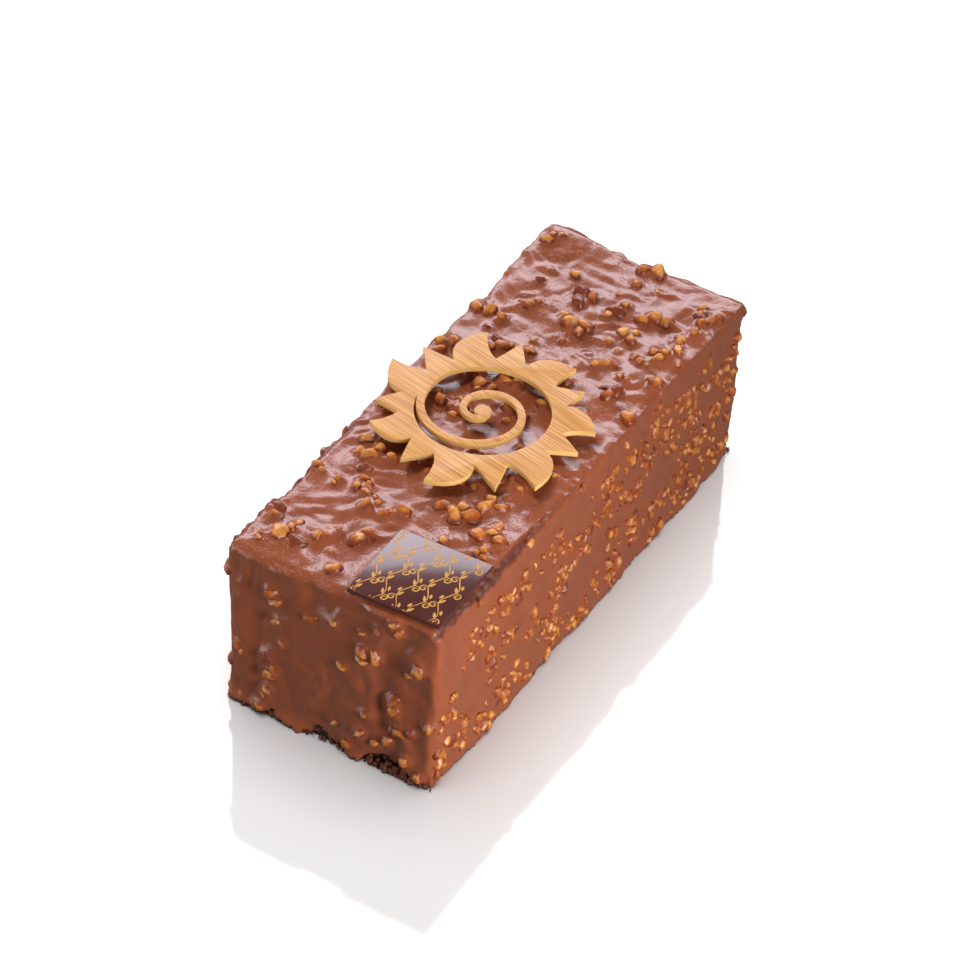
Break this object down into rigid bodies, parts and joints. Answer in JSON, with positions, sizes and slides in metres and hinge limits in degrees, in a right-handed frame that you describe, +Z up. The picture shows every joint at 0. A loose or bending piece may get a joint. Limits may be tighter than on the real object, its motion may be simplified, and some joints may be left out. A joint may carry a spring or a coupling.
{
  "type": "loaf cake",
  "caption": "Oblong loaf cake coated in milk chocolate with chopped roasted nuts, with a flat bamboo sun and a thin square chocolate plaque lying on its top.",
  "frame": {"origin": "on the surface that the loaf stands on, under the middle of the object's bounding box", "axes": "+X along the loaf's length, away from the end with the plaque; +Y across it, away from the long side nearest the plaque; +Z up"},
  "size_m": [0.1862, 0.0748, 0.0659],
  "materials": {
    "milk_chocolate": "set milk chocolate coat, satin, full of chopped nuts",
    "roasted_nut": "chopped roasted nut with a thin chocolate film",
    "bamboo": "sanded bamboo veneer with fine straight grain",
    "dark_chocolate": "tempered dark chocolate, smooth and glossy",
    "gold_print": "gold cocoa butter transfer print",
    "cake_crumb": "dry dark cake crumb at the foot"
  },
  "bodies": {
    "root": {"cake": "milk_chocolate", "sun_ornament": "bamboo", "plaque": "dark_chocolate"}
  },
  "joints": []
}
